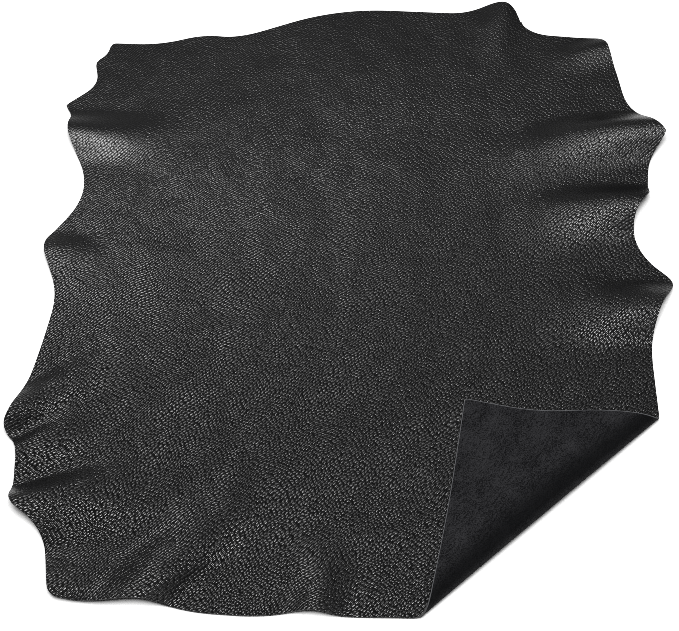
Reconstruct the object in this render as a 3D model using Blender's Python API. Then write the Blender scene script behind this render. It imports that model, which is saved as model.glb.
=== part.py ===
"""Cowhide leather: one cut piece of pebbled hide, lying flat with a corner folded over.

The hide lies grain side up on the plane Z = 0. X runs to the right along its near edge and
Y away from it. Its edges lift off the plane in short ridges that run inwards from the points
of the outline, and the near right corner is turned back over the grain, flesh side up.

The outline is drawn flat, as the piece was cut, in millimetres. Each flat point is then
carried to where it lies: raised by the ridges, or taken round the fold.
"""

import math
from collections import namedtuple

import bmesh
import bpy
import numpy as np

MM = 0.001

# Leather
THICKNESS = 1.6
LAYER_GAP = 0.6

# Outline, as cut: the edge runs straight towards each point and turns there on a curve that
# starts and ends `reach` away from it. The points go round from the near left foot.
Turn = namedtuple("Turn", "place x y reach")

NEAR_EDGE = (
    Turn("left foot", -237, -254, 8),
    Turn("left swell", -202, -260, 30),
    Turn("left hollow", -156, -257, 24),
    Turn("middle swell", -122, -267, 20),
    Turn("middle", -66, -271, 20),
    Turn("ripple", -27, -266, 18),
    Turn("ripple foot", 2, -271, 16),
    Turn("fold start", 70, -272, 40),
    Turn("folded corner", 269, -276, 4),
)
RIGHT_EDGE = (
    Turn("fold hollow", 268, -216, 26),
    Turn("fold swell", 277, -157, 26),
    Turn("fold end", 275, -99, 30),
    Turn("straight end", 273, -12, 40),
    Turn("lower point", 302, 31, 11),
    Turn("lower bay", 272, 58, 26),
    Turn("deep bay", 265, 96, 24),
    Turn("hook", 284, 118, 3),
    Turn("middle bay", 286, 141, 12),
    Turn("point bay", 289, 160, 10),
    Turn("upper point", 305, 183, 3),
    Turn("point side", 294, 194, 9),
    Turn("upper shoulder", 285, 207, 9),
    Turn("upper hollow", 272, 222, 14),
    Turn("upper swell", 265, 264, 20),
    Turn("far right corner", 257, 295, 9),
)
FAR_EDGE = (
    Turn("lobe hollow", 182, 302, 24),
    Turn("lobe right", 169, 336, 13),
    Turn("lobe left", 153, 338, 12),
    Turn("lobe foot", 121, 326, 14),
    Turn("far crest", -1, 332, 50),
    Turn("left slope", -98, 297, 26),
    Turn("low crest", -132, 301, 18),
    Turn("low dip", -175, 289, 24),
    Turn("far left corner", -221, 291, 5),
)
LEFT_EDGE = (
    Turn("notch", -224, 278, 6),
    Turn("small point", -235, 269, 4),
    Turn("upper hollow", -230, 243, 16),
    Turn("sharp point", -260, 220, 2),
    Turn("nick", -253, 208, 6),
    Turn("blunt point", -256, 189, 12),
    Turn("wide bay", -228, 126, 54),
    Turn("round lobe", -270, 70, 14),
    Turn("lobe bay", -252, 22, 20),
    Turn("long slope", -260, -22, 30),
    Turn("slope hollow", -271, -67, 20),
    Turn("left point", -288, -109, 8),
    Turn("left point bay", -273, -126, 12),
    Turn("blunt corner", -276, -177, 10),
    Turn("foot bay", -246, -198, 18),
)
STEP_ANGLE = 14.0

# Ridges: each rises from the outline at its outer end and fades out at its inner end. Its
# flank away from the viewer is `back` wide, and the one towards the viewer `front` wide.
# Halfway, its crest lies `bow` further back than a straight line between the two ends.
Ridge = namedtuple("Ridge", "place outer_x outer_y inner_x inner_y height back front bow")

RIDGES = (
    Ridge("far right corner", 268, 289, 190, 268, 6, 13, 22, 0),
    Ridge("upper point", 306, 189, 122, 138, 17, 24, 36, 15),
    Ridge("hook", 282, 110, 138, 84, 16, 24, 36, 7),
    Ridge("lower point", 296, 4, 160, -3, 16, 32, 34, 2),
    Ridge("lobe", 166, 345, 140, 262, 5, 22, 20, 0),
    Ridge("sharp point", -264, 190, -130, 183, 10, 24, 30, 0),
    Ridge("round lobe", -276, 66, -190, 50, 7, 20, 36, 0),
    Ridge("left point", -290, -101, -240, -72, 7, 20, 18, 0),
    Ridge("left point run", -290, -101, -150, -14, 7, 20, 26, 2),
    Ridge("left middle", -274, -131, -190, -87, 9, 18, 30, 0),
    Ridge("blunt corner", -284, -182, -140, -142, 18, 20, 46, 0),
    Ridge("left foot", -262, -248, -110, -244, 8, 34, 20, 0),
    Ridge("left hollow", -168, -262, -50, -150, 12, 40, 20, 0),
    Ridge("ripple", -22, -274, 8, -208, 9, 28, 22, 0),
)

# Fold: the corner turns over a line between these two points, in a roll that is tight where
# it starts and opens towards its crest, and narrower at both ends of the line.
FOLD_START = (72, -267)
FOLD_END = (273, -101)
BEND_LENGTH = 58.0
SETTLE_LENGTH = 70.0
END_SIZE = 0.45
PROFILE_STEP = 0.25

# Spacing of the lines that divide the sheet, across the fold and elsewhere
FOLD_SPACING = 3.4
SHEET_SPACING = 9.2
SHORTEST_SIDE = 0.7

GRAIN_BLACK = (0.014, 0.014, 0.015, 1.0)
GRAIN_ROUGHNESS = 0.42


def bell(distance):
    """Smooth hump that is 1 at 0 and falls to 0 at a distance of 1."""
    return 0.5 + 0.5 * np.cos(np.pi * np.clip(np.abs(distance), 0.0, 1.0))


def rounded_turn(before, turn, after):
    """Points of the curve on which the edge turns at one point of the outline."""
    corner = np.array((turn.x, turn.y), float)
    sides = [np.array((other.x, other.y), float) - corner for other in (before, after)]
    lengths = [math.hypot(*side) for side in sides]
    ends = [corner + side * min(turn.reach / length, 0.5) for side, length in zip(sides, lengths)]
    cosine = float(np.dot(sides[0], sides[1])) / (lengths[0] * lengths[1])
    turning = 180.0 - math.degrees(math.acos(max(-1.0, min(1.0, cosine))))
    steps = max(2, math.ceil(turning / STEP_ANGLE))
    share = np.linspace(0.0, 1.0, steps + 1)[:, None]
    return (1 - share) ** 2 * ends[0] + 2 * share * (1 - share) * corner + share**2 * ends[1]


def flat_outline():
    """Points round the hide as it was cut, anticlockwise, in millimetres."""
    turns = NEAR_EDGE + RIGHT_EDGE + FAR_EDGE + LEFT_EDGE
    curves = [
        rounded_turn(turns[index - 1], turn, turns[(index + 1) % len(turns)])
        for index, turn in enumerate(turns)
    ]
    points = []
    for point in np.concatenate(curves):
        if not points or np.linalg.norm(point - points[-1]) > SHORTEST_SIDE:
            points.append(point)
    return points


def ridge_height(x, y):
    """Height of the flesh side over the plane where no fold lifts it."""
    height = np.zeros_like(x)
    for ridge in RIDGES:
        run = np.array((ridge.inner_x - ridge.outer_x, ridge.inner_y - ridge.outer_y), float)
        length = np.linalg.norm(run)
        along = run / length
        from_x = x - ridge.outer_x
        from_y = y - ridge.outer_y
        share = np.clip((from_x * along[0] + from_y * along[1]) / length, 0.0, 1.0)
        offset = from_y * along[0] - from_x * along[1]
        if along[0] < 0:
            offset = -offset
        offset -= 4.0 * ridge.bow * share * (1.0 - share)
        width = np.where(offset > 0, ridge.back, ridge.front) * (1.0 + 0.5 * share)
        height += ridge.height * bell(share) * bell(offset / width)
    return height


def fold_section():
    """Section of a full-sized roll: hide length, distance out and height, from where it lifts.

    The hide turns through more than half a circle over BEND_LENGTH, then settles back over
    SETTLE_LENGTH until it lies level again. How far it turns too far is found by halving, so
    that it comes down to the height from which it rose.
    """
    length = np.arange(0.0, BEND_LENGTH + SETTLE_LENGTH, PROFILE_STEP)
    bend_share = np.clip(length / BEND_LENGTH, 0.0, 1.0)
    bend = 20.0 * bend_share * (1.0 - bend_share) ** 3 / BEND_LENGTH
    settle_share = (length - BEND_LENGTH) / SETTLE_LENGTH
    settle = np.where(settle_share > 0, 1.0 - np.cos(2.0 * np.pi * settle_share), 0.0) / SETTLE_LENGTH
    low, high = 0.0, 0.5 * math.pi
    for _ in range(40):
        extra = 0.5 * (low + high)
        heading = np.cumsum((math.pi + extra) * bend - extra * settle) * PROFILE_STEP
        out = np.cumsum(np.cos(heading)) * PROFILE_STEP
        height = np.cumsum(np.sin(heading)) * PROFILE_STEP
        low, high = (extra, high) if height[-1] > 0 else (low, extra)
    return length, out, height


def fold_axes():
    """Start of the fold line, the direction along it, the direction out over it, its length."""
    start = np.array(FOLD_START, float)
    line = np.array(FOLD_END, float) - start
    length = np.linalg.norm(line)
    along = line / length
    return start, along, np.array((along[1], -along[0])), length


def lie_down(points):
    """Carry flat points of the hide to where its flesh side lies, in millimetres."""
    x, y = points[:, 0], points[:, 1]
    start, along, outward, fold_length = fold_axes()
    on_line = (x - start[0]) * along[0] + (y - start[1]) * along[1]
    past_line = (x - start[0]) * outward[0] + (y - start[1]) * outward[1]
    length, out, height = fold_section()
    middle = np.sin(np.pi * np.clip(on_line / fold_length, 0.0, 1.0))
    size = END_SIZE + (1.0 - END_SIZE) * np.sqrt(middle)
    lift_off = -size * out.max()
    rolled = (past_line - lift_off) / size
    rest_height = (2.0 * THICKNESS + LAYER_GAP) * (1.0 - bell(rolled / BEND_LENGTH))
    level = np.maximum(rolled - length[-1], 0.0)
    folded_out = lift_off + size * (np.interp(rolled, length, out) - level)
    folded_height = size * np.interp(rolled, length, height) + rest_height
    folded = rolled > 0.0
    reached = np.where(folded, folded_out, past_line)
    placed_x = start[0] + on_line * along[0] + reached * outward[0]
    placed_y = start[1] + on_line * along[1] + reached * outward[1]
    placed_z = np.where(folded, folded_height, ridge_height(x, y))
    return np.column_stack((placed_x, placed_y, placed_z))


def cut_lines(low, high, spacing):
    """Evenly spaced places between two limits, at most `spacing` apart, without the limits."""
    count = max(1, math.ceil((high - low) / spacing))
    return list(np.linspace(low, high, count + 1)[1:-1])


def divided_sheet():
    """Flat sheet with the hide's outline, divided along and across the fold line."""
    outline = flat_outline()
    sheet = bmesh.new()
    sheet.faces.new([sheet.verts.new((x, y, 0.0)) for x, y in outline])
    start, along, outward, fold_length = fold_axes()
    corners = np.array(outline) - start
    on_line = corners @ along
    past_line = corners @ outward
    section = fold_section()
    roll_start = -section[1].max()
    roll_end = roll_start + BEND_LENGTH
    across = cut_lines(past_line.min(), roll_start, SHEET_SPACING)
    across += [roll_start] + cut_lines(roll_start, roll_end, FOLD_SPACING) + [roll_end]
    across += cut_lines(roll_end, past_line.max(), SHEET_SPACING)
    lengthwise = cut_lines(on_line.min(), on_line.max(), SHEET_SPACING)
    cuts = [(outward, place) for place in across] + [(along, place) for place in lengthwise]
    for direction, place in cuts:
        middle = start + direction * place
        bmesh.ops.bisect_plane(
            sheet,
            geom=sheet.verts[:] + sheet.edges[:] + sheet.faces[:],
            plane_co=(middle[0], middle[1], 0.0),
            plane_no=(direction[0], direction[1], 0.0),
        )
    bmesh.ops.dissolve_degenerate(sheet, dist=SHORTEST_SIDE, edges=sheet.edges[:])
    bmesh.ops.triangulate(sheet, faces=sheet.faces[:])
    return sheet


def hide_mesh():
    """Closed mesh of the hide where it lies, centred over the origin, in metres."""
    sheet = divided_sheet()
    flat = np.array([vertex.co[:2] for vertex in sheet.verts])
    for vertex, place in zip(sheet.verts, lie_down(flat)):
        vertex.co = place
    bmesh.ops.recalc_face_normals(sheet, faces=sheet.faces[:])
    sheet.normal_update()
    bmesh.ops.solidify(sheet, geom=sheet.faces[:], thickness=-THICKNESS)
    bmesh.ops.recalc_face_normals(sheet, faces=sheet.faces[:])
    places = np.array([vertex.co[:] for vertex in sheet.verts])
    low, high = places.min(axis=0), places.max(axis=0)
    centre = (0.5 * (low[0] + high[0]), 0.5 * (low[1] + high[1]), low[2])
    for vertex in sheet.verts:
        vertex.co = [(value - middle) * MM for value, middle in zip(vertex.co, centre)]
    mesh = bpy.data.meshes.new("hide")
    sheet.to_mesh(mesh)
    sheet.free()
    mesh.shade_smooth()
    mesh.set_sharp_from_angle(angle=math.radians(60.0))
    return mesh


def grain_leather():
    """Black leather with a soft sheen."""
    material = bpy.data.materials.new("black_leather")
    material.use_nodes = True
    shader = material.node_tree.nodes["Principled BSDF"]
    shader.inputs["Base Color"].default_value = GRAIN_BLACK
    shader.inputs["Roughness"].default_value = GRAIN_ROUGHNESS
    shader.inputs["Metallic"].default_value = 0.0
    material.diffuse_color = GRAIN_BLACK
    return material


def main():
    """Clear the scene and build the hide."""
    for thing in list(bpy.data.objects):
        bpy.data.objects.remove(thing)
    hide = bpy.data.objects.new("hide", hide_mesh())
    bpy.context.scene.collection.objects.link(hide)
    hide.data.materials.append(grain_leather())


main()
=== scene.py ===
"""Looks of one cut piece of cowhide leather, lying flat with its near right corner folded over.

The grain side is black and pebbled, the flesh side is blue-black suede, and the cut edge shows
the paler core. X runs to the right along the near edge, Y away from it and Z up from the floor.

The hide is drawn flat, as it was cut, in millimetres. Each flat point is then carried to where
it lies: raised by the ridges, or taken round the fold.
"""

import logging
import math
from dataclasses import dataclass
from enum import Enum

import bpy
import numpy as np
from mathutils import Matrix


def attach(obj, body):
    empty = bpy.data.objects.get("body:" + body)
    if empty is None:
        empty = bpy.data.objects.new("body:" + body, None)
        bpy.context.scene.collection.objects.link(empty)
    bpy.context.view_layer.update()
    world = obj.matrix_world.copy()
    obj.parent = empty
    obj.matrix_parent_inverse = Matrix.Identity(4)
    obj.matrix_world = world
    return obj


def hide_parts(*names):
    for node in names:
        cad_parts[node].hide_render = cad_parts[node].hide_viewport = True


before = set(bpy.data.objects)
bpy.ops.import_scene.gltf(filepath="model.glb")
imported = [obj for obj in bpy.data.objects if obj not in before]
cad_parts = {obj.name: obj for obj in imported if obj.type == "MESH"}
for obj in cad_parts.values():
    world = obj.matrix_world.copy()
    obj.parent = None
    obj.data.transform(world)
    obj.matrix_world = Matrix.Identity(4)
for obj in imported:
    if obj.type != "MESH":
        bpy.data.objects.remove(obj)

MM = 0.001
IMAGE_WIDTH = 679

# What the mesh keeps on its points for its materials
CUT_PLACE = "cut_place"
GRAIN_DEPTH = "grain_depth"
BEND_RUN = "bend_run"
EDGE_SHARE = "edge_share"

log = logging.getLogger("hide")


class Side(Enum):
    """Surfaces of the hide, in the order of their material slots."""

    GRAIN = 0
    FLESH = 1
    CUT = 2


@dataclass(frozen=True)
class Turn:
    """Point of the outline, as cut, at which the edge turns on a curve `reach` long each way."""

    place: str
    x: float
    y: float
    reach: float


@dataclass(frozen=True)
class Ridge:
    """Rise of the hide from an outer to an inner end, `back` wide behind and `front` before.

    Its crest bows back from the straight line between its ends by `bow` in the middle.
    """

    place: str
    outer_x: float
    outer_y: float
    inner_x: float
    inner_y: float
    height: float
    back: float
    front: float
    bow: float = 0.0


NEAR_EDGE = (
    Turn("left foot", -237, -254, 8),
    Turn("left swell", -202, -260, 30),
    Turn("left hollow", -156, -257, 24),
    Turn("middle swell", -122, -267, 20),
    Turn("middle", -66, -271, 20),
    Turn("ripple", -27, -266, 18),
    Turn("ripple foot", 2, -271, 16),
    Turn("fold start", 70, -272, 40),
    Turn("folded corner", 269, -276, 4),
)
RIGHT_EDGE = (
    Turn("fold hollow", 268, -216, 26),
    Turn("fold swell", 277, -157, 26),
    Turn("fold end", 275, -99, 30),
    Turn("straight end", 273, -12, 40),
    Turn("lower point", 302, 31, 11),
    Turn("lower bay", 272, 58, 26),
    Turn("deep bay", 265, 96, 24),
    Turn("hook", 284, 118, 3),
    Turn("middle bay", 286, 141, 12),
    Turn("point bay", 289, 160, 10),
    Turn("upper point", 305, 183, 3),
    Turn("point side", 294, 194, 9),
    Turn("upper shoulder", 285, 207, 9),
    Turn("upper hollow", 272, 222, 14),
    Turn("upper swell", 265, 264, 20),
    Turn("far right corner", 257, 295, 9),
)
FAR_EDGE = (
    Turn("lobe hollow", 182, 302, 24),
    Turn("lobe right", 169, 336, 13),
    Turn("lobe left", 153, 338, 12),
    Turn("lobe foot", 121, 326, 14),
    Turn("far crest", -1, 332, 50),
    Turn("left slope", -98, 297, 26),
    Turn("low crest", -132, 301, 18),
    Turn("low dip", -175, 289, 24),
    Turn("far left corner", -221, 291, 5),
)
LEFT_EDGE = (
    Turn("notch", -224, 278, 6),
    Turn("small point", -235, 269, 4),
    Turn("upper hollow", -230, 243, 16),
    Turn("sharp point", -260, 220, 2),
    Turn("nick", -253, 208, 6),
    Turn("blunt point", -256, 189, 12),
    Turn("wide bay", -228, 126, 54),
    Turn("round lobe", -270, 70, 14),
    Turn("lobe bay", -252, 22, 20),
    Turn("long slope", -260, -22, 30),
    Turn("slope hollow", -271, -67, 20),
    Turn("left point", -288, -109, 8),
    Turn("left point bay", -273, -126, 12),
    Turn("blunt corner", -276, -177, 10),
    Turn("foot bay", -246, -198, 18),
)
RIDGES = (
    Ridge("far right corner", 268, 289, 190, 268, 6, 13, 22),
    Ridge("upper point", 306, 189, 122, 138, 17, 24, 36, 15),
    Ridge("hook", 282, 110, 138, 84, 16, 24, 36, 7),
    Ridge("lower point", 296, 4, 160, -3, 16, 32, 34, 2),
    Ridge("lobe", 166, 345, 140, 262, 5, 22, 20),
    Ridge("sharp point", -264, 190, -130, 183, 10, 24, 30),
    Ridge("round lobe", -276, 66, -190, 50, 7, 20, 36),
    Ridge("left point", -290, -101, -240, -72, 7, 20, 18),
    Ridge("left point run", -290, -101, -150, -14, 7, 20, 26, 2),
    Ridge("left middle", -274, -131, -190, -87, 9, 18, 30),
    Ridge("blunt corner", -284, -182, -140, -142, 18, 20, 46),
    Ridge("left foot", -262, -248, -110, -244, 8, 34, 20),
    Ridge("left hollow", -168, -262, -50, -150, 12, 40, 20),
    Ridge("ripple", -22, -274, 8, -208, 9, 28, 22),
)


def bell(distance: np.ndarray) -> np.ndarray:
    """Smooth hump that is 1 at 0 and falls to 0 at a distance of 1, half a cosine each way."""
    return 0.5 + 0.5 * np.cos(np.pi * np.clip(np.abs(distance), 0.0, 1.0))


@dataclass(frozen=True)
class CutOutline:
    """Outline of the hide as it was cut, in four edges that meet at the named corners."""

    edges: tuple[tuple[Turn, ...], ...] = (NEAR_EDGE, RIGHT_EDGE, FAR_EDGE, LEFT_EDGE)
    steps: int = 12

    def turn_curve(self, before: Turn, turn: Turn, after: Turn) -> np.ndarray:
        """Curve on which the edge turns: the parabola that leaves both sides at `reach`.

        It leaves a side halfway along at the furthest.

        Args:
            before: The point before this one.
            turn: The point that the curve goes round.
            after: The point after it.

        Returns:
            Its points, an odd number of them, so that one is its middle.
        """
        corner = np.array((turn.x, turn.y), float)
        ends = []
        for other in (before, after):
            side = np.array((other.x, other.y), float) - corner
            ends.append(corner + side * min(turn.reach / np.linalg.norm(side), 0.5))
        share = np.linspace(0.0, 1.0, self.steps + 1)[:, None]
        return (1 - share) ** 2 * ends[0] + 2 * share * (1 - share) * corner + share**2 * ends[1]

    def edge_lines(self) -> list[tuple[np.ndarray, np.ndarray]]:
        """The four edges as lines of points.

        Returns:
            For each edge, from corner to corner, its points and which of them are the middles
            of its turns.
        """
        turns = [turn for edge in self.edges for turn in edge]
        count = len(turns)
        curves = [
            self.turn_curve(turns[index - 1], turns[index], turns[(index + 1) % count])
            for index in range(count)
        ]
        points = np.concatenate(curves)
        middles = np.arange(count) * (self.steps + 1) + self.steps // 2
        corners = [0]
        corners += [turns.index(edge[-1]) for edge in self.edges[:3]]
        corners += [count]
        lines = []
        for first, last in zip(corners[:-1], corners[1:]):
            chosen = middles[np.arange(first, last + 1) % count]
            chosen[-1] += len(points) if last == count else 0
            line = points[np.arange(chosen[0], chosen[-1] + 1) % len(points)]
            lines.append((line, chosen - chosen[0]))
        return lines

    def flat_area(self) -> float:
        """Area inside the outline in square millimetres, by the sum over its sides."""
        loop = np.concatenate([line[:-1] for line, _ in self.edge_lines()])
        x, y = loop.T
        return 0.5 * abs(float(np.dot(x, np.roll(y, -1)) - np.dot(y, np.roll(x, -1))))


@dataclass(frozen=True)
class FoldRoll:
    """Roll of the hide where its corner turns over the line from start to end."""

    start: tuple[float, float] = (72, -267)
    end: tuple[float, float] = (273, -101)
    bend_length: float = 58.0
    settle_length: float = 70.0
    end_size: float = 0.45
    rest_height: float = 3.8
    step: float = 0.25
    halvings: int = 40

    def section(self) -> tuple[np.ndarray, np.ndarray, np.ndarray]:
        """Section of a full-sized roll, from where the hide lifts.

        The bend is a skewed hump over bend_length: 20 times the share of it that is passed,
        times the cube of the share that is left, which adds up to 1. The settling is a raised
        cosine over settle_length. The heading is the sum of the bend, times half a turn and an
        extra, less the settling, times that extra. The extra is found by halving, so that the
        hide comes down to the height from which it rose.

        Returns:
            Length along the hide, distance out and height.
        """
        length = np.arange(0.0, self.bend_length + self.settle_length, self.step)
        share = np.clip(length / self.bend_length, 0.0, 1.0)
        bend = 20.0 * share * (1.0 - share) ** 3 / self.bend_length
        late = (length - self.bend_length) / self.settle_length
        settle = np.where(late > 0, 1.0 - np.cos(2.0 * np.pi * late), 0.0) / self.settle_length
        low, high = 0.0, 0.5 * math.pi
        for _ in range(self.halvings):
            extra = 0.5 * (low + high)
            heading = np.cumsum((math.pi + extra) * bend - extra * settle) * self.step
            out = np.cumsum(np.cos(heading)) * self.step
            height = np.cumsum(np.sin(heading)) * self.step
            low, high = (extra, high) if height[-1] > 0 else (low, extra)
        return length, out, height

    def axes(self) -> tuple[np.ndarray, np.ndarray, np.ndarray, float]:
        """Start of the fold line, the direction along it, the one out over it, its length."""
        start = np.array(self.start, float)
        line = np.array(self.end, float) - start
        length = float(np.linalg.norm(line))
        along = line / length
        return start, along, np.array((along[1], -along[0])), length

    def carry(
        self, x: np.ndarray, y: np.ndarray, z: np.ndarray
    ) -> tuple[np.ndarray, np.ndarray]:
        """Where flat points go: round the roll past its line, and up to z before it.

        The length along the section is the distance past the place where the hide lifts, over
        the roll's size there. The size is end_size at both ends of the line and 1 in its
        middle, by the root of half a sine wave. Past the section's end the flap lies level, and
        round the bend it is raised to rest_height by 1 less a bell.

        Args:
            x: Flat places to the right.
            y: Flat places away from the near edge.
            z: Heights of the flesh side where the roll does not lift it.

        Returns:
            Places of the flesh side, with x, y and z last, and the length along the section of
            each, which is less than 0 before the hide lifts.
        """
        start, along, outward, line_length = self.axes()
        on_line = (x - start[0]) * along[0] + (y - start[1]) * along[1]
        past_line = (x - start[0]) * outward[0] + (y - start[1]) * outward[1]
        length, out, height = self.section()
        middle = np.sin(np.pi * np.clip(on_line / line_length, 0.0, 1.0))
        size = self.end_size + (1.0 - self.end_size) * np.sqrt(middle)
        lift_off = -size * out.max()
        rolled = (past_line - lift_off) / size
        rest = self.rest_height * (1.0 - bell(rolled / self.bend_length))
        level = np.maximum(rolled - length[-1], 0.0)
        folded_out = lift_off + size * (np.interp(rolled, length, out) - level)
        folded_height = size * np.interp(rolled, length, height) + rest
        folded = rolled > 0.0
        reached = np.where(folded, folded_out, past_line)
        places = np.stack(
            (
                start[0] + on_line * along[0] + reached * outward[0],
                start[1] + on_line * along[1] + reached * outward[1],
                np.where(folded, folded_height, z),
            ),
            axis=-1,
        )
        return places, rolled


@dataclass(frozen=True)
class Mottle:
    """Soft noise over the flat hide: waves `pitch` millimetres long, with finer ones in them."""

    pitch: float
    detail: float = 2.0
    rough: float = 0.5


class NodeBoard:
    """Node tree of one material, with short ways to add and join nodes."""

    def __init__(self, name: str) -> None:
        """Start a material with a Principled surface.

        Args:
            name: The material's name.
        """
        self.material = bpy.data.materials.new(name)
        self.material.use_nodes = True
        self.tree = self.material.node_tree
        self.surface = self.tree.nodes["Principled BSDF"]

    def add(
        self, kind: str, settings: dict[str, object] | None = None, **inputs: object
    ) -> bpy.types.Node:
        """Add a node.

        Args:
            kind: Blender's name for the node.
            settings: Its properties.
            inputs: What `plug` sets or joins, by socket, with _ for a space in a name.

        Returns:
            The node.
        """
        node = self.tree.nodes.new(kind)
        for key, value in (settings or {}).items():
            setattr(node, key, value)
        for key, value in inputs.items():
            self.plug(node, key.replace("_", " "), value)
        return node

    def plug(self, node: bpy.types.Node, socket: str, value: object) -> None:
        """Set or join one input socket.

        Args:
            node: The node.
            socket: The socket's name, or its number as in "in1".
            value: A value to set, or another node's output to join.
        """
        numbered = socket[:2] == "in" and socket[2:].isdigit()
        target = node.inputs[int(socket[2:])] if numbered else node.inputs[socket]
        if isinstance(value, bpy.types.NodeSocket):
            self.tree.links.new(value, target)
        else:
            target.default_value = value

    def dress(self, **inputs: object) -> None:
        """Set or join sockets of the surface, with _ for a space in a name."""
        for key, value in inputs.items():
            self.plug(self.surface, key.replace("_", " "), value)

    def place(self) -> bpy.types.NodeSocket:
        """The point's flat place on the cut hide, in millimetres."""
        attribute = self.add("ShaderNodeAttribute", {"attribute_name": CUT_PLACE})
        return attribute.outputs["Vector"]

    def number(self, name: str) -> bpy.types.NodeSocket:
        """A number kept on the mesh's points."""
        return self.add("ShaderNodeAttribute", {"attribute_name": name}).outputs["Fac"]

    def maths(
        self, operation: str, first: object, second: object, third: object = 0.0
    ) -> bpy.types.NodeSocket:
        """One sum of two or three numbers."""
        settings = {"operation": operation}
        node = self.add("ShaderNodeMath", settings, in0=first, in1=second, in2=third)
        return node.outputs[0]

    def vector_maths(self, operation: str, first: object, second: object) -> bpy.types.NodeSocket:
        """One sum of two vectors."""
        node = self.add("ShaderNodeVectorMath", {"operation": operation}, in0=first, in1=second)
        return node.outputs[0]

    def turned(
        self, vector: bpy.types.NodeSocket, degrees: float, size: tuple[float, float]
    ) -> bpy.types.NodeSocket:
        """Places in a pattern's own units: turned by some degrees, then divided by its size."""
        settings = {"rotation_type": "Z_AXIS"}
        angle = -math.radians(degrees)
        spun = self.add("ShaderNodeVectorRotate", settings, Vector=vector, Angle=angle)
        return self.vector_maths("MULTIPLY", spun.outputs[0], (1.0 / size[0], 1.0 / size[1], 1.0))

    def noise(self, vector: bpy.types.NodeSocket, mottle: Mottle) -> bpy.types.Node:
        """Soft noise at some places, which gives a number and a colour."""
        return self.add(
            "ShaderNodeTexNoise",
            {"noise_dimensions": "2D"},
            Vector=vector,
            Scale=1.0 / mottle.pitch,
            Detail=mottle.detail,
            Roughness=mottle.rough,
        )

    def speckle(self, vector: bpy.types.NodeSocket, mottle: Mottle) -> bpy.types.NodeSocket:
        """The number of soft noise at some places."""
        return self.noise(vector, mottle).outputs["Fac"]

    def warped(
        self, vector: bpy.types.NodeSocket, pitch: float, amount: float
    ) -> bpy.types.NodeSocket:
        """Places pushed about by up to `amount`, in waves `pitch` long."""
        push = self.noise(vector, Mottle(pitch)).outputs["Color"]
        centred = self.vector_maths("SUBTRACT", push, (0.5, 0.5, 0.5))
        settings = {"operation": "SCALE"}
        moved = self.add("ShaderNodeVectorMath", settings, in0=centred, Scale=2.0 * amount)
        return self.vector_maths("ADD", vector, moved.outputs[0])

    def ramp(
        self, value: object, low: float, high: float, to_low: float = 0.0, to_high: float = 1.0
    ) -> bpy.types.NodeSocket:
        """Value carried smoothly from between low and high to between to_low and to_high."""
        node = self.add("ShaderNodeMapRange", {"interpolation_type": "SMOOTHSTEP"}, Value=value)
        limits = {"From Min": low, "From Max": high, "To Min": to_low, "To Max": to_high}
        for socket, limit in limits.items():
            node.inputs[socket].default_value = limit
        return node.outputs["Result"]

    def blend(self, factor: object, first: object, second: object) -> bpy.types.NodeSocket:
        """Colour between two colours."""
        node = self.add("ShaderNodeMix", {"data_type": "RGBA"})
        self.plug(node, "in0", factor)
        self.plug(node, "in6", first)
        self.plug(node, "in7", second)
        return node.outputs[2]

    def cells(
        self, vector: bpy.types.NodeSocket, feature: str, scatter: float
    ) -> bpy.types.NodeSocket:
        """Cells one unit across: distance to their edge, or to their middle."""
        settings = {"voronoi_dimensions": "2D", "feature": feature}
        node = self.add(
            "ShaderNodeTexVoronoi", settings, Vector=vector, Scale=1.0, Randomness=scatter
        )
        return node.outputs["Distance"]


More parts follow.
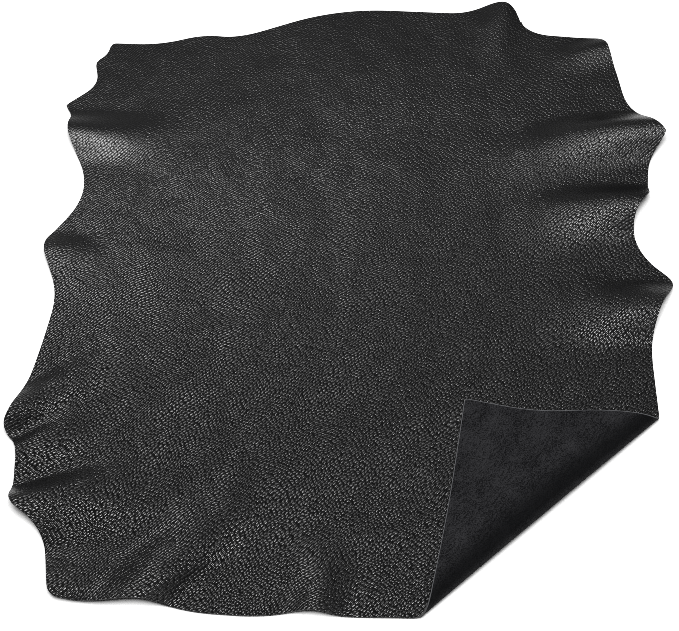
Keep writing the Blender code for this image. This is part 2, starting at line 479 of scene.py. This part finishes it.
@dataclass(frozen=True)
class GrainFinish:
    """Black pebbled grain: rounded pebbles in slanting rows, parted by fine creases.

    Lengths are in millimetres. Each band is the stretch over which a value rises. Drift and
    wander are the length of the waves that push the rows about, and how far they push.
    """

    pebble: tuple[float, float] = (3.7, 2.15)
    scatter: float = 0.45
    slant: float = 39.0
    drift: tuple[float, float] = (80.0, 8.0)
    wander: tuple[float, float] = (8.0, 0.4)
    groove_band: tuple[float, float] = (0.02, 0.18)
    row_band: tuple[float, float] = (0.02, 0.27)
    row_clouds: Mottle = Mottle(12.0, 3.0, 0.6)
    row_cloud_band: tuple[float, float] = (0.36, 0.60)
    row_depths: tuple[float, float] = (0.5, 0.8)
    dome_drop: float = 3.8
    top_height: float = 0.55
    pores: Mottle = Mottle(0.6, 2.0, 0.6)
    pore_height: float = 0.04
    relief: float = 0.56
    top_colour: tuple[float, float, float, float] = (0.0048, 0.0048, 0.0052, 1.0)
    # Painted shade: the grooves' colour is darker than the tops for the shade the bump cannot cast
    groove_shade_colour: tuple[float, float, float, float] = (0.0008, 0.0008, 0.0008, 1.0)
    rough_band: tuple[float, float] = (0.1, 0.7)
    groove_rough: float = 0.48
    top_rough: float = 0.32
    flat_band: tuple[float, float] = (0.2, 0.9)
    flat_polish: float = 0.9
    specular: float = 0.5

    def pebble_places(self, board: NodeBoard) -> tuple[bpy.types.NodeSocket, bpy.types.NodeSocket]:
        """Places counted in pebbles, in rows that each start at a random part of a pebble.

        Args:
            board: The material's nodes.

        Returns:
            The place along and across the rows, and the distance across them alone.
        """
        drifting = board.warped(board.place(), *self.drift)
        wandering = board.warped(drifting, *self.wander)
        turned = board.turned(wandering, self.slant, self.pebble)
        parts = board.add("ShaderNodeSeparateXYZ", Vector=turned)
        along, across = parts.outputs["X"], parts.outputs["Y"]
        row = board.maths("FLOOR", across, 0.0)
        start = board.add("ShaderNodeTexWhiteNoise", {"noise_dimensions": "1D"}, W=row)
        along = board.maths("ADD", start.outputs["Value"], along)
        return board.add("ShaderNodeCombineXYZ", X=along, Y=across).outputs[0], across

    def tops(
        self, board: NodeBoard, pebble_place: bpy.types.NodeSocket, across: bpy.types.NodeSocket
    ) -> bpy.types.NodeSocket:
        """Tops of the pebbles: 1 on them, and less in the grooves.

        A top is how far the point is from its cell's edge, over groove_band. It is multiplied
        by 1 less the row's depth there, times how near the point is to the line between two
        rows, over row_band. The row's depth varies between row_depths in soft clouds.

        Args:
            board: The material's nodes.
            pebble_place: Place along and across the rows, in pebbles.
            across: Distance across the rows, in pebbles.

        Returns:
            A number from 0 to 1.
        """
        edge = board.cells(pebble_place, "DISTANCE_TO_EDGE", self.scatter)
        plateau = board.ramp(edge, *self.groove_band)
        in_row = board.ramp(board.maths("PINGPONG", across, 0.5), *self.row_band)
        clouds = board.speckle(board.place(), self.row_clouds)
        row_depth = board.ramp(clouds, *self.row_cloud_band, *self.row_depths)
        cut = board.maths("MULTIPLY", row_depth, board.maths("SUBTRACT", 1.0, in_row))
        return board.maths("MULTIPLY", plateau, board.maths("SUBTRACT", 1.0, cut))

    def material(self) -> bpy.types.Material:
        """Material of the grain side.

        Height is 1 less dome_drop times the cube of the distance from a pebble's middle, plus
        top_height times its top, plus the pores. The bump's depth is the relief, times the
        share of it that the mesh keeps at the point. Colour goes from groove_shade_colour, painted
        shade in the grooves and between the rows, to the top's. So does roughness, over
        rough_band, and it is multiplied by flat_polish where the mesh keeps little depth, rising
        to 1 over flat_band.

        Returns:
            The material.
        """
        board = NodeBoard("black_grain")
        pebble_place, across = self.pebble_places(board)
        tops = self.tops(board, pebble_place, across)
        middle = board.cells(pebble_place, "F1", self.scatter)
        dome = board.maths("MULTIPLY_ADD", board.maths("POWER", middle, 3.0), -self.dome_drop, 1.0)
        height = board.maths("MULTIPLY_ADD", tops, self.top_height, dome)
        pores = board.speckle(board.place(), self.pores)
        height = board.maths("MULTIPLY_ADD", pores, self.pore_height, height)
        depth_kept = board.number(GRAIN_DEPTH)
        depth = board.maths("MULTIPLY", depth_kept, self.relief * MM)
        bump = board.add("ShaderNodeBump", Height=height, Distance=depth)
        rough = board.ramp(tops, *self.rough_band, self.groove_rough, self.top_rough)
        polish = board.ramp(depth_kept, *self.flat_band, self.flat_polish, 1.0)
        # Base colour darkens into the grooves and between the rows: painted shade
        board.dress(
            Base_Color=board.blend(tops, self.groove_shade_colour, self.top_colour),
            Roughness=board.maths("MULTIPLY", rough, polish),
            Specular_IOR_Level=self.specular,
            Normal=bump.outputs[0],
        )
        return board.material


@dataclass(frozen=True)
class SuedeFinish:
    """Blue-black flesh side: short matt nap, mottled and brushed in faint streaks.

    Lengths are in millimetres. The streaks are noise stretched by `stretch` across and along
    fibre_slant. Each share is how much of a noise goes into the mix of the two colours.
    """

    light: tuple[float, float, float, float] = (0.0205, 0.0205, 0.0222, 1.0)
    dark: tuple[float, float, float, float] = (0.0022, 0.0022, 0.0026, 1.0)
    # Paler colour along the border of the flesh side
    border_pale: tuple[float, float, float, float] = (0.075, 0.076, 0.080, 1.0)
    # Painted shade: dark colour laid over the flesh side where the roll bends away from the light
    bend_shade: tuple[float, float, float, float] = (0.0022, 0.0023, 0.0026, 1.0)
    clouds: Mottle = Mottle(22.0, 4.0, 0.65)
    streaks: Mottle = Mottle(2.2, 4.0, 0.7)
    fuzz: Mottle = Mottle(1.2, 3.0, 0.7)
    fibre_slant: float = -62.0
    stretch: tuple[float, float] = (1.0, 3.2)
    cloud_share: float = 0.4
    streak_share: float = 0.5
    fuzz_share: float = 1.1
    mix_band: tuple[float, float] = (0.75, 1.25)
    bend_shade_rise: tuple[float, float] = (18.0, 27.0)
    bend_shade_fall: tuple[float, float] = (30.0, 54.0)
    bend_shade_amount: float = 0.85
    border_band: tuple[float, float] = (0.45, 0.9)
    streak_height: float = 0.6
    relief: float = 0.25
    rough: float = 0.95
    specular: float = 0.05
    sheen: float = 0.01
    sheen_rough: float = 0.5

    def material(self) -> bpy.types.Material:
        """Material of the flesh side.

        The two colours are mixed by the sum of the clouds, the streaks and the fuzz, each times
        its share, over mix_band. The bend_shade colour, painted shade on the bend of the roll, is
        laid over them on the bend, by bend_shade_amount times a rise over bend_shade_rise and a
        fall over bend_shade_fall, both lengths along the roll's section. The paler border_pale
        colour is laid over the border, over border_band. Height is the fuzz, plus streak_height
        times the streaks.

        Returns:
            The material.
        """
        board = NodeBoard("blue_black_suede")
        place = board.place()
        clouds = board.speckle(place, self.clouds)
        fibre_place = board.turned(place, self.fibre_slant, self.stretch)
        streaks = board.speckle(fibre_place, self.streaks)
        fuzz = board.speckle(place, self.fuzz)
        mix = board.maths("MULTIPLY", clouds, self.cloud_share)
        mix = board.maths("MULTIPLY_ADD", streaks, self.streak_share, mix)
        mix = board.maths("MULTIPLY_ADD", fuzz, self.fuzz_share, mix)
        colour = board.blend(board.ramp(mix, *self.mix_band), self.dark, self.light)
        # Painted shade on the bend of the roll, rising and then falling along its section
        run = board.number(BEND_RUN)
        fall = board.ramp(run, *self.bend_shade_fall, self.bend_shade_amount, 0.0)
        bend_shade_mask = board.maths("MULTIPLY", board.ramp(run, *self.bend_shade_rise), fall)
        colour = board.blend(bend_shade_mask, colour, self.bend_shade)
        # Paler colour laid over the flesh side's border points
        border_mask = board.ramp(board.number(EDGE_SHARE), *self.border_band)
        height = board.maths("MULTIPLY_ADD", streaks, self.streak_height, fuzz)
        bump = board.add("ShaderNodeBump", Height=height, Distance=self.relief * MM)
        board.dress(
            Base_Color=board.blend(border_mask, colour, self.border_pale),
            Roughness=self.rough,
            Specular_IOR_Level=self.specular,
            Sheen_Weight=self.sheen,
            Sheen_Roughness=self.sheen_rough,
            Normal=bump.outputs[0],
        )
        return board.material


@dataclass(frozen=True)
class CutFinish:
    """Cut edge: the fibrous core of the hide, a little paler than its faces."""

    light: tuple[float, float, float, float] = (0.060, 0.060, 0.060, 1.0)
    dark: tuple[float, float, float, float] = (0.022, 0.022, 0.023, 1.0)
    fibres: Mottle = Mottle(1.6, 4.0, 0.7)
    mix_band: tuple[float, float] = (0.35, 0.7)
    rough: float = 0.85

    def material(self) -> bpy.types.Material:
        """Material of the cut edge: noise along it mixes the two colours, over mix_band."""
        board = NodeBoard("charcoal_edge")
        mix = board.ramp(board.speckle(board.place(), self.fibres), *self.mix_band)
        board.dress(Base_Color=board.blend(mix, self.dark, self.light), Roughness=self.rough)
        return board.material


def keep(mesh: bpy.types.Mesh, name: str, values: np.ndarray) -> None:
    """Keep a number or a vector on each of a mesh's points.

    Args:
        mesh: The mesh.
        name: The name under which materials read it.
        values: A number for each point, or a row of three.
    """
    kind, key = ("FLOAT", "value") if values.ndim == 1 else ("FLOAT_VECTOR", "vector")
    attribute = mesh.attributes.new(name, kind, "POINT")
    attribute.data.foreach_set(key, values.astype(np.float32).ravel())


@dataclass(frozen=True)
class Hide:
    """The leather: one sheet of even thickness between its grain and flesh sides.

    Lengths are in millimetres and angles in degrees. The grid has coarse_cells each way, and
    fine_cells more over the stretches that start at fine_from and are fine_share long.
    """

    outline: CutOutline
    roll: FoldRoll
    thickness: float = 1.6
    edge_round: float = 0.25
    ridge_widening: float = 0.5
    smoothed: float = 0.62
    smooth_slope: float = 0.5
    far_smoothed: float = 0.88
    deepest: tuple[float, float] = (150.0, -170.0)
    faded: tuple[float, float] = (430.0, 330.0)
    coarse_cells: int = 98
    fine_cells: int = 116
    fine_from: tuple[float, float] = (0.60, 0.0)
    fine_share: tuple[float, float] = (0.40, 0.34)
    sharp_angle: float = 50.0

    def shares(self, fine_from: float, fine_share: float) -> np.ndarray:
        """Places of the grid lines from 0 to 1: closer over the stretch that has the roll.

        Args:
            fine_from: Where the close lines begin.
            fine_share: How long their stretch is.

        Returns:
            One share for each line.
        """
        before = fine_from / (1.0 - fine_share)
        lines = round(self.coarse_cells * before)
        index = (0, lines, lines + self.fine_cells, self.coarse_cells + self.fine_cells)
        place = (0.0, fine_from, fine_from + fine_share, 1.0)
        return np.interp(np.arange(index[-1] + 1), index, place)

    def edge_places(self, line: np.ndarray, middles: np.ndarray, shares: np.ndarray) -> np.ndarray:
        """Points of one edge at the given shares of its length.

        Each share is nudged so that the middle of every turn is met by the nearest line.

        Args:
            line: The edge's points.
            middles: Which of them are the middles of its turns.
            shares: One share of the edge's length for each grid line.

        Returns:
            One point for each share.
        """
        lengths = np.linalg.norm(np.diff(line, axis=0), axis=1)
        travelled = np.concatenate(((0.0,), np.cumsum(lengths)))
        wanted = shares * travelled[-1]
        nearest = np.abs(wanted[None, :] - travelled[middles][:, None]).argmin(axis=1)
        nudge = np.interp(np.arange(len(wanted)), nearest, travelled[middles] - wanted[nearest])
        places = wanted + nudge
        return np.column_stack([np.interp(places, travelled, line[:, axis]) for axis in (0, 1)])

    def flat_grid(self) -> tuple[np.ndarray, np.ndarray]:
        """Flat places of the grid: a patch between the four edges.

        Each point is the blend of the near and far edges, plus the blend of the left and right
        ones, less the blend of the four corners.

        Returns:
            Places to the right and places away, a row for each line away from the near edge.
        """
        near_edge, right_edge, far_edge, left_edge = self.outline.edge_lines()
        far, far_at = far_edge
        left, left_at = left_edge
        across = self.shares(self.fine_from[0], self.fine_share[0])
        away = self.shares(self.fine_from[1], self.fine_share[1])
        bottom = self.edge_places(*near_edge, across)
        top = self.edge_places(far[::-1], (len(far) - 1 - far_at)[::-1], across)
        end = self.edge_places(*right_edge, away)
        begin = self.edge_places(left[::-1], (len(left) - 1 - left_at)[::-1], away)
        s = across[None, :, None]
        t = away[:, None, None]
        near_corners = (1 - s) * bottom[0] + s * bottom[-1]
        far_corners = (1 - s) * top[0] + s * top[-1]
        patch = (1 - t) * bottom[None] + t * top[None] + (1 - s) * begin[:, None] + s * end[:, None]
        patch = patch - ((1 - t) * near_corners + t * far_corners)
        return patch[..., 0], patch[..., 1]

    def ridges(self, x: np.ndarray, y: np.ndarray) -> tuple[np.ndarray, np.ndarray]:
        """Height of the flesh side, the sum of the ridges.

        Each ridge is its height, times a bell along it, times a bell across it, which widens
        towards the inner end by ridge_widening. It slopes down behind by half pi times the
        height over the width, times the bell along it, times the sine of the turn, from 0 at
        its crest to pi at its foot.

        Args:
            x: Flat places to the right.
            y: Flat places away from the near edge.

        Returns:
            The height, and how steeply each point slopes down behind the ridges.
        """
        height = np.zeros_like(x)
        behind = np.zeros_like(x)
        for ridge in RIDGES:
            run = np.array((ridge.inner_x - ridge.outer_x, ridge.inner_y - ridge.outer_y), float)
            length = float(np.linalg.norm(run))
            along = run / length
            from_x = x - ridge.outer_x
            from_y = y - ridge.outer_y
            share = np.clip((from_x * along[0] + from_y * along[1]) / length, 0.0, 1.0)
            offset = from_y * along[0] - from_x * along[1]
            offset = -offset if along[0] < 0 else offset
            offset -= 4.0 * ridge.bow * share * (1.0 - share)
            width = np.where(offset > 0, ridge.back, ridge.front)
            width = width * (1.0 + self.ridge_widening * share)
            height += ridge.height * bell(share) * bell(offset / width)
            turn = np.pi * np.clip(offset / width, 0.0, 1.0)
            behind += 0.5 * np.pi * ridge.height / width * bell(share) * np.sin(turn)
        return height, behind

    def grain_depth(self, x: np.ndarray, y: np.ndarray, behind: np.ndarray) -> np.ndarray:
        """Share of the grain's depth that each point keeps.

        Away from `deepest` the grain loses far_smoothed times 1 less a bell: e to the power of
        minus away squared, times 1 plus aside squared. Aside and away are the distances to the
        right of it and behind it, over the two lengths in `faded`. Behind the ridges the grain
        also loses `smoothed` of the rest, in full where the slope reaches smooth_slope.

        Args:
            x: Flat places to the right.
            y: Flat places away from the near edge.
            behind: How steeply each point slopes down behind the ridges.

        Returns:
            Numbers from 0 to 1.
        """
        aside = (x - self.deepest[0]) / self.faded[0]
        away = np.maximum(y - self.deepest[1], 0.0) / self.faded[1]
        flatter = self.far_smoothed * (1.0 - np.exp(-(away**2) * (1.0 + aside**2)))
        steep = np.clip(behind / self.smooth_slope, 0.0, 1.0)
        return (1.0 - flatter) * (1.0 - self.smoothed * steep)

    def faces(self, index: np.ndarray, loop: np.ndarray) -> tuple[np.ndarray, np.ndarray]:
        """Faces of the grain side, of the flesh side and of the cut edge, which has two rows.

        Args:
            index: Numbers of the grid's points, a row for each line away from the near edge.
            loop: Those round its border.

        Returns:
            The four points of each face, and the number of the surface that it is on.
        """
        count = index.size
        quads = np.stack((index[:-1, :-1], index[:-1, 1:], index[1:, 1:], index[1:, :-1]), -1)
        quads = quads.reshape(-1, 4)
        after = np.roll(np.arange(len(loop)), -1)
        rim = 2 * count + np.arange(len(loop))
        upper = np.column_stack((loop, rim, rim[after], loop[after]))
        lower = np.column_stack((rim, loop + count, loop[after] + count, rim[after]))
        faces = np.concatenate((quads, quads[:, ::-1] + count, upper, lower))
        sides = (Side.GRAIN.value, Side.FLESH.value, Side.CUT.value)
        return faces, np.repeat(sides, (len(quads), len(quads), 2 * len(loop)))

    def mesh(self) -> bpy.types.Mesh:
        """Closed mesh of the hide where it lies, centred over the origin as its solid is.

        The grain side is the flesh side moved by the thickness along its normal, and the cut
        edge joins them over a line that stands out by edge_round.

        Returns:
            The mesh, with what its materials read kept on its points.
        """
        x, y = self.flat_grid()
        height, behind = self.ridges(x, y)
        flesh, run = self.roll.carry(x, y, height)
        run_away, run_across = np.gradient(flesh, axis=(0, 1))
        normal = np.cross(run_across, run_away)
        normal /= np.linalg.norm(normal, axis=-1, keepdims=True)
        grain = flesh + self.thickness * normal
        index = np.arange(x.size).reshape(x.shape)
        loop = np.concatenate((index[0, :-1], index[:-1, -1], index[-1, :0:-1], index[:0:-1, 0]))
        flesh_points, grain_points = flesh.reshape(-1, 3), grain.reshape(-1, 3)
        along = np.roll(flesh_points[loop], -1, axis=0) - np.roll(flesh_points[loop], 1, axis=0)
        outward = np.cross(along, normal.reshape(-1, 3)[loop])
        outward /= np.linalg.norm(outward, axis=1, keepdims=True)
        middle = 0.5 * (flesh_points[loop] + grain_points[loop]) + self.edge_round * outward
        points = np.concatenate((grain_points, flesh_points, middle))
        low, high = points.min(axis=0), points.max(axis=0)
        centre = 0.5 * (low + high)
        points = (points - (centre[0], centre[1], low[2])) * MM
        area = self.outline.flat_area() * MM * MM
        log.info("hide centre %.3f %.3f mm, area %.4f m2", centre[0], centre[1], area)
        faces, sides = self.faces(index, loop)
        mesh = bpy.data.meshes.new("hide_leather")
        mesh.from_pydata(points.tolist(), [], faces.tolist())
        mesh.polygons.foreach_set("material_index", sides.astype(np.int32))
        border = np.zeros(x.size)
        border[loop] = 1.0
        kept = {
            CUT_PLACE: np.column_stack((x.ravel(), y.ravel(), np.zeros(x.size))),
            GRAIN_DEPTH: self.grain_depth(x, y, behind).ravel(),
            BEND_RUN: run.ravel(),
            EDGE_SHARE: border,
        }
        for name, values in kept.items():
            keep(mesh, name, np.concatenate((values, values, values[loop])))
        mesh.shade_smooth()
        mesh.set_sharp_from_angle(angle=math.radians(self.sharp_angle))
        return mesh

    def build(self) -> bpy.types.Object:
        """Make the hide, dress it and let it stand for its solid."""
        hide = bpy.data.objects.new("hide_leather", self.mesh())
        bpy.context.scene.collection.objects.link(hide)
        for finish in (GrainFinish(), SuedeFinish(), CutFinish()):
            hide.data.materials.append(finish.material())
        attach(hide, "root")
        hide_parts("hide")
        return hide


@dataclass(frozen=True)
class SoftLight:
    """Square soft light aimed at the hide.

    Its azimuth is in degrees from straight behind the hide, to the left, its elevation in
    degrees above the floor, its distance and side in metres, and its power in watts.
    """

    name: str
    azimuth: float
    elevation: float
    distance: float
    side: float
    power: float

    def build(self) -> None:
        """Hang the light."""
        data = bpy.data.lights.new(self.name, "AREA")
        data.size = self.side
        data.energy = self.power
        lamp = bpy.data.objects.new(self.name, data)
        bpy.context.scene.collection.objects.link(lamp)
        turn, rise = math.radians(self.azimuth), math.radians(self.elevation)
        away = self.distance * math.cos(rise)
        up = self.distance * math.sin(rise)
        lamp.location = (-away * math.sin(turn), away * math.cos(turn), up)
        lamp.rotation_euler = (math.pi / 2 - rise, 0.0, math.pi + turn)


@dataclass(frozen=True)
class Studio:
    """Pale floor, soft lights and the camera, which looks down at the hide.

    Lengths are in metres, but for the camera's sensor, in millimetres.
    """

    target: tuple[float, float] = (-0.0091, -0.0326)
    camera_height: float = 1.2
    elevation: float = 64.8
    focal_pixels: float = 1491.0
    sensor_width: float = 36.0
    pixel_filter: float = 0.7
    floor_size: float = 12.0
    floor_drop: float = 0.0002
    floor_colour: tuple[float, float, float, float] = (0.69, 0.69, 0.688, 1.0)
    floor_rough: float = 0.8
    floor_specular: float = 0.1
    world_colour: tuple[float, float, float, float] = (1.0, 1.0, 1.0, 1.0)
    world_strength: float = 0.05
    lights: tuple[SoftLight, ...] = (
        SoftLight("key_light", azimuth=10.0, elevation=22.0, distance=4.5, side=3.2, power=9.0),
        SoftLight("top_light", azimuth=174.0, elevation=83.5, distance=2.2, side=0.95, power=86.0),
    )

    def floor(self) -> bpy.types.Object:
        """Flat pale floor just under the hide."""
        half, low = 0.5 * self.floor_size, -self.floor_drop
        corners = [(-half, -half, low), (half, -half, low), (half, half, low), (-half, half, low)]
        mesh = bpy.data.meshes.new("studio_floor")
        mesh.from_pydata(corners, [], [(0, 1, 2, 3)])
        floor = bpy.data.objects.new("studio_floor", mesh)
        bpy.context.scene.collection.objects.link(floor)
        board = NodeBoard("white_floor")
        board.dress(
            Base_Color=self.floor_colour,
            Roughness=self.floor_rough,
            Specular_IOR_Level=self.floor_specular,
        )
        mesh.materials.append(board.material)
        return floor

    def world(self) -> None:
        """Even pale surroundings."""
        world = bpy.data.worlds.new("studio_world")
        world.use_nodes = True
        background = world.node_tree.nodes["Background"]
        background.inputs["Color"].default_value = self.world_colour
        background.inputs["Strength"].default_value = self.world_strength
        bpy.context.scene.world = world

    def camera(self) -> None:
        """Camera at the viewing angle, aimed at a point of the floor."""
        data = bpy.data.cameras.new("camera")
        data.sensor_width = self.sensor_width
        data.lens = self.focal_pixels / IMAGE_WIDTH * data.sensor_width
        camera = bpy.data.objects.new("camera", data)
        bpy.context.scene.collection.objects.link(camera)
        back = self.camera_height / math.tan(math.radians(self.elevation))
        camera.location = (self.target[0], self.target[1] - back, self.camera_height)
        camera.rotation_euler = (math.radians(90.0 - self.elevation), 0.0, 0.0)
        bpy.context.scene.camera = camera

    def build(self) -> bpy.types.Object:
        """Set up the lights and the camera, and return the floor."""
        for light in self.lights:
            light.build()
        self.world()
        self.camera()
        scene = bpy.context.scene
        scene.cycles.use_denoising = False
        scene.cycles.filter_width = self.pixel_filter
        scene.view_settings.view_transform = "Standard"
        return self.floor()


def main() -> None:
    """Build the hide and the studio, and work out the area and the points of the cut outline."""
    logging.basicConfig(level=logging.INFO, format="%(message)s")
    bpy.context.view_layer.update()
    outline = CutOutline()
    hide = Hide(outline, FoldRoll()).build()
    log.info("hide: %d faces", len(hide.data.polygons))
    floor = Studio().build()
    area = outline.flat_area() * MM * MM
    points = np.concatenate([line for line, _ in outline.edge_lines()])


if __name__ == "__main__":
    main()
